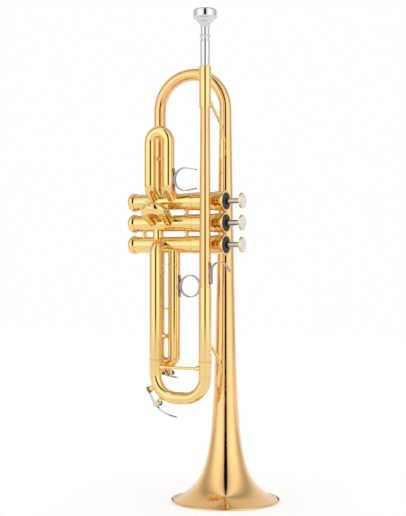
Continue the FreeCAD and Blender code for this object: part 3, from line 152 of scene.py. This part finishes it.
def polished_metal(name, light, dark, rough_low, rough_high, coat=0.0, grain=None, bump=0.05):
    """Polished metal: two close tones in slow clouds, handling haze in the gloss, faint buffing."""
    material, tree, shader = new_material(name)
    shader.inputs["Metallic"].default_value = 1.0
    clouds = noise(tree, -600, 300, 28.0, 5.0)
    tone = ramp(tree, -400, 300, [(0.32, dark), (0.66, light)], clouds)
    tree.links.new(tone.outputs["Color"], shader.inputs["Base Color"])
    haze = noise(tree, -600, 0, 60.0, 6.0, 0.65, grain)
    gloss = ramp(tree, -400, 0, [(0.35, rough_low), (0.75, rough_high)], haze)
    tree.links.new(gloss.outputs["Color"], shader.inputs["Roughness"])
    fine = noise(tree, -600, -300, 420.0, 3.0, 0.5, grain)
    add_bump(tree, shader, fine, bump, 0.00002)
    if coat:
        shader.inputs["Coat Weight"].default_value = coat
        shader.inputs["Coat Roughness"].default_value = 0.03
        shader.inputs["Coat IOR"].default_value = 1.5
    return material


def make_materials():
    made = {}
    made["gold_brass_lacquer"] = polished_metal(
        "gold_brass_lacquer", (0.90, 0.560, 0.235), (0.86, 0.515, 0.200), 0.07, 0.12, 0.45)
    made["yellow_brass_lacquer"] = polished_metal(
        "yellow_brass_lacquer", (0.90, 0.655, 0.270), (0.86, 0.605, 0.232), 0.07, 0.12, 0.45)
    made["silver_plate"] = polished_metal(
        "silver_plate", (0.76, 0.755, 0.74), (0.68, 0.67, 0.655), 0.05, 0.11)
    made["nickel_silver"] = polished_metal(
        "nickel_silver", (0.44, 0.335, 0.28), (0.33, 0.25, 0.21), 0.14, 0.24, bump=0.1)
    made["polished_steel"] = polished_metal(
        "polished_steel", (0.52, 0.50, 0.48), (0.42, 0.41, 0.40), 0.10, 0.20, grain=(1, 14, 14))
    made["spring_steel"] = polished_metal(
        "spring_steel", (0.55, 0.55, 0.56), (0.45, 0.45, 0.46), 0.18, 0.30)
    made["pearl"] = pearl_material()
    made["black_felt"] = felt_material()
    made["cork"] = cork_material()
    return made


def pearl_material():
    """Mother-of-pearl: pale, softly banded sheen under a clear gloss."""
    material, tree, shader = new_material("pearl")
    place = node_at(tree, "ShaderNodeTexCoord", -1000, 200)
    wave = node_at(tree, "ShaderNodeTexWave", -700, 200, wave_type="BANDS")
    wave.inputs["Scale"].default_value = 55.0
    wave.inputs["Distortion"].default_value = 9.0
    wave.inputs["Detail"].default_value = 3.0
    tree.links.new(place.outputs["Object"], wave.inputs["Vector"])
    tone = ramp(tree, -400, 200, [(0.0, (0.74, 0.77, 0.78)), (0.45, (0.84, 0.83, 0.80)),
                                  (0.75, (0.78, 0.80, 0.82)), (1.0, (0.88, 0.87, 0.85))],
                wave.outputs["Fac"])
    tree.links.new(tone.outputs["Color"], shader.inputs["Base Color"])
    haze = noise(tree, -600, -100, 300.0)
    gloss = ramp(tree, -400, -100, [(0.3, 0.12), (0.7, 0.24)], haze)
    tree.links.new(gloss.outputs["Color"], shader.inputs["Roughness"])
    shader.inputs["Specular IOR Level"].default_value = 0.6
    shader.inputs["Coat Weight"].default_value = 0.6
    shader.inputs["Coat Roughness"].default_value = 0.05
    add_bump(tree, shader, wave.outputs["Fac"], 0.05, 0.00005)
    return material


def felt_material():
    """Dense black felt with a fibrous face."""
    material, tree, shader = new_material("black_felt")
    fibre = noise(tree, -600, 200, 900.0, 6.0, 0.75)
    tone = ramp(tree, -400, 200, [(0.3, (0.010, 0.010, 0.011)), (0.75, (0.035, 0.034, 0.036))], fibre)
    tree.links.new(tone.outputs["Color"], shader.inputs["Base Color"])
    shader.inputs["Roughness"].default_value = 0.95
    shader.inputs["Sheen Weight"].default_value = 0.25
    add_bump(tree, shader, fibre, 0.8, 0.0003)
    return material


def cork_material():
    """Pressed cork with darker grains."""
    material, tree, shader = new_material("cork")
    place = node_at(tree, "ShaderNodeTexCoord", -1000, 200)
    cells = node_at(tree, "ShaderNodeTexVoronoi", -700, 200)
    cells.inputs["Scale"].default_value = 900.0
    tree.links.new(place.outputs["Object"], cells.inputs["Vector"])
    tone = ramp(tree, -400, 200, [(0.0, (0.16, 0.07, 0.035)), (0.5, (0.36, 0.18, 0.09)),
                                  (1.0, (0.50, 0.28, 0.15))], cells.outputs["Distance"])
    tree.links.new(tone.outputs["Color"], shader.inputs["Base Color"])
    shader.inputs["Roughness"].default_value = 0.8
    add_bump(tree, shader, cells.outputs["Distance"], 0.6, 0.0002)
    return material


# ---- mesh helpers --------------------------------------------------------------------------------

def finish_mesh(name, mesh_data, body, slot):
    """Links a mesh as a smooth piece that rides on a body and takes a slot's finish."""
    made = bpy.data.objects.new(name, mesh_data)
    bpy.context.scene.collection.objects.link(made)
    made.data.materials.append(materials[slot])
    for polygon in made.data.polygons:
        polygon.use_smooth = True
    made.data.set_sharp_from_angle(angle=math.radians(SHARP_ANGLE))
    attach(made, body)


def tidy(work, name):
    bmesh.ops.remove_doubles(work, verts=work.verts, dist=WELD)
    bmesh.ops.recalc_face_normals(work, faces=work.faces)
    data = bpy.data.meshes.new(name)
    work.to_mesh(data)
    work.free()
    return data


def add_lathe(work, outline, origin):
    """Adds a closed outline of (radius, height) points in mm, spun about Z through the origin."""
    rings = []
    for radius, height in outline:
        ring = []
        for i in range(ROUND):
            angle = 2 * math.pi * i / ROUND
            spot = Vector((radius * math.cos(angle), radius * math.sin(angle), height)) * MM
            ring.append(work.verts.new(origin + spot))
        rings.append(ring)
    for here, there in zip(rings, rings[1:] + rings[:1]):
        for i in range(ROUND):
            j = (i + 1) % ROUND
            work.faces.new([here[i], here[j], there[j], there[i]])


# ---- places read from the frame ------------------------------------------------------------------

def low(name):
    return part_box(name)[0] / MM


def high(name):
    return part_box(name)[1] / MM


materials = make_materials()


def paint_nodes():
    """Gives every CAD node the finish of its slot."""
    slots = {entry["node"]: entry["material_slot"] for entry in frame["record"]["subparts"]}
    for name, item in frame["nodes"].items():
        item.data.materials.clear()
        item.data.materials.append(materials[slots[name]])


# ---- studio --------------------------------------------------------------------------------------

def make_world():
    """White to the camera; to the metal a pale tent with soft side banks and narrow dark cards."""
    world = bpy.data.worlds.new("studio")
    bpy.context.scene.world = world
    world.use_nodes = True
    tree = world.node_tree
    tree.nodes.clear()
    place = node_at(tree, "ShaderNodeTexCoord", -1400, 0)
    # angle from the key direction, measured level, folded to 0 in front and 1 behind
    key = math.radians(CAMERA_AZIMUTH)
    split = node_at(tree, "ShaderNodeSeparateXYZ", -1200, 0)
    tree.links.new(place.outputs["Generated"], split.inputs["Vector"])
    flat = node_at(tree, "ShaderNodeCombineXYZ", -1000, 0)
    tree.links.new(split.outputs["X"], flat.inputs["X"])
    tree.links.new(split.outputs["Y"], flat.inputs["Y"])
    unit = node_at(tree, "ShaderNodeVectorMath", -850, 0, operation="NORMALIZE")
    tree.links.new(flat.outputs["Vector"], unit.inputs[0])
    dot = node_at(tree, "ShaderNodeVectorMath", -700, 0, operation="DOT_PRODUCT")
    dot.inputs[1].default_value = (math.sin(key), -math.cos(key), 0.0)
    tree.links.new(unit.outputs["Vector"], dot.inputs[0])
    angle = node_at(tree, "ShaderNodeMath", -550, 0, operation="ARCCOSINE")
    tree.links.new(dot.outputs["Value"], angle.inputs[0])
    turn = node_at(tree, "ShaderNodeMath", -400, 0, operation="DIVIDE")
    turn.inputs[1].default_value = math.pi
    tree.links.new(angle.outputs["Value"], turn.inputs[0])
    banks = ramp(tree, -250, 0, BANKS, turn.outputs["Value"], "B_SPLINE")
    # brightest level with the object, a little less overhead and towards the floor
    level = lifted(tree, split.outputs["Z"])
    height = ramp(tree, -250, -300, HEIGHTS, level, "B_SPLINE")
    product = node_at(tree, "ShaderNodeMixRGB", 0, 0, blend_type="MULTIPLY")
    product.inputs["Fac"].default_value = 1.0
    tree.links.new(banks.outputs["Color"], product.inputs["Color1"])
    tree.links.new(height.outputs["Color"], product.inputs["Color2"])
    glossy = node_at(tree, "ShaderNodeBackground", 200, 0)
    glossy.inputs["Strength"].default_value = GLOSSY_STRENGTH
    tree.links.new(product.outputs["Color"], glossy.inputs["Color"])
    plain = node_at(tree, "ShaderNodeBackground", 200, -200)
    plain.inputs["Color"].default_value = (1, 1, 1, 1)
    plain.inputs["Strength"].default_value = FILL_STRENGTH
    white = node_at(tree, "ShaderNodeBackground", 200, 200)
    white.inputs["Color"].default_value = (1, 1, 1, 1)
    rays = node_at(tree, "ShaderNodeLightPath", 200, 500)
    first = node_at(tree, "ShaderNodeMixShader", 450, 0)
    tree.links.new(rays.outputs["Is Glossy Ray"], first.inputs["Fac"])
    tree.links.new(plain.outputs["Background"], first.inputs[1])
    tree.links.new(glossy.outputs["Background"], first.inputs[2])
    second = node_at(tree, "ShaderNodeMixShader", 650, 0)
    tree.links.new(rays.outputs["Is Camera Ray"], second.inputs["Fac"])
    tree.links.new(first.outputs["Shader"], second.inputs[1])
    tree.links.new(white.outputs["Background"], second.inputs[2])
    out = node_at(tree, "ShaderNodeOutputWorld", 850, 0)
    tree.links.new(second.outputs["Shader"], out.inputs["Surface"])


def lifted(tree, source):
    """Maps a height from -1..1 to 0..1."""
    made = node_at(tree, "ShaderNodeMapRange", -450, -300)
    made.inputs["From Min"].default_value = -1.0
    tree.links.new(source, made.inputs["Value"])
    return made.outputs["Result"]


def make_joint_lines():
    """Fine raised solder lines where each bow is joined to its straight tubes."""
    for bow, body, up in JOINED_BOWS:
        first, last = low(bow), high(bow)
        radius = (last.y - first.y) / 2
        work = bmesh.new()
        for x in (first.x + radius, last.x - radius):
            for inset in (LINE_INSET, LINE_INSET + LINE_GAP):
                z = last.z - inset if up else first.z + inset
                outline = [(radius - LINE_SUNK, -LINE_HALF), (radius + LINE_PROUD, -LINE_HALF / 2),
                           (radius + LINE_PROUD, LINE_HALF / 2), (radius - LINE_SUNK, LINE_HALF)]
                add_lathe(work, outline, Vector((x, (first.y + last.y) / 2, z)) * MM)
        name = bow + "_lines"
        finish_mesh(name, tidy(work, name), body, "yellow_brass_lacquer")


def make_floor():
    """A pale floor that shows white to the camera but keeps the contact shadow."""
    bpy.ops.mesh.primitive_plane_add(size=FLOOR_SIZE, location=(0, 0, cad_box[0][2]))
    floor = bpy.context.object
    floor.name = "floor"
    material, tree, shader = new_material("floor")
    shader.inputs["Base Color"].default_value = (0.86, 0.86, 0.86, 1)
    shader.inputs["Roughness"].default_value = 0.9
    grain = noise(tree, -600, -300, 40.0)
    add_bump(tree, shader, grain, 0.02, 0.0002)
    glow = node_at(tree, "ShaderNodeEmission", 0, 200)
    glow.inputs["Strength"].default_value = FLOOR_GLOW
    sheen = node_at(tree, "ShaderNodeEmission", 200, -200)
    sheen.inputs["Strength"].default_value = FLOOR_SHEEN
    add = node_at(tree, "ShaderNodeAddShader", 200, 100)
    tree.links.new(shader.outputs["BSDF"], add.inputs[0])
    tree.links.new(glow.outputs["Emission"], add.inputs[1])
    rays = node_at(tree, "ShaderNodeLightPath", 0, 400)
    mix = node_at(tree, "ShaderNodeMixShader", 400, 100)
    tree.links.new(rays.outputs["Is Camera Ray"], mix.inputs["Fac"])
    tree.links.new(shader.outputs["BSDF"], mix.inputs[1])
    tree.links.new(add.outputs["Shader"], mix.inputs[2])
    second = node_at(tree, "ShaderNodeMixShader", 600, 100)
    tree.links.new(rays.outputs["Is Glossy Ray"], second.inputs["Fac"])
    tree.links.new(mix.outputs["Shader"], second.inputs[1])
    tree.links.new(sheen.outputs["Emission"], second.inputs[2])
    out = tree.nodes["Material Output"]
    tree.links.new(second.outputs["Shader"], out.inputs["Surface"])
    floor.data.materials.append(material)


def make_camera():
    """Level with mid-height, a little round from the leadpipe side towards the buttons."""
    turn = math.radians(CAMERA_AZIMUTH)
    ahead = Vector((-math.sin(turn), math.cos(turn), 0))
    right = Vector((math.cos(turn), math.sin(turn), 0))
    data = bpy.data.cameras.new("camera")
    camera = bpy.data.objects.new("camera", data)
    bpy.context.scene.collection.objects.link(camera)
    camera.location = right * -CAMERA_AIM - ahead * CAMERA_DISTANCE + Vector((0, 0, CAMERA_HEIGHT))
    camera.rotation_euler = ahead.to_track_quat("-Z", "Y").to_euler()
    data.sensor_fit = "VERTICAL"
    data.sensor_height = SENSOR
    data.lens = LENS
    data.clip_end = 20.0
    bpy.context.scene.camera = camera


bpy.context.scene.view_settings.view_transform = "Standard"
make_camera()
make_world()
make_floor()
paint_nodes()
make_joint_lines()
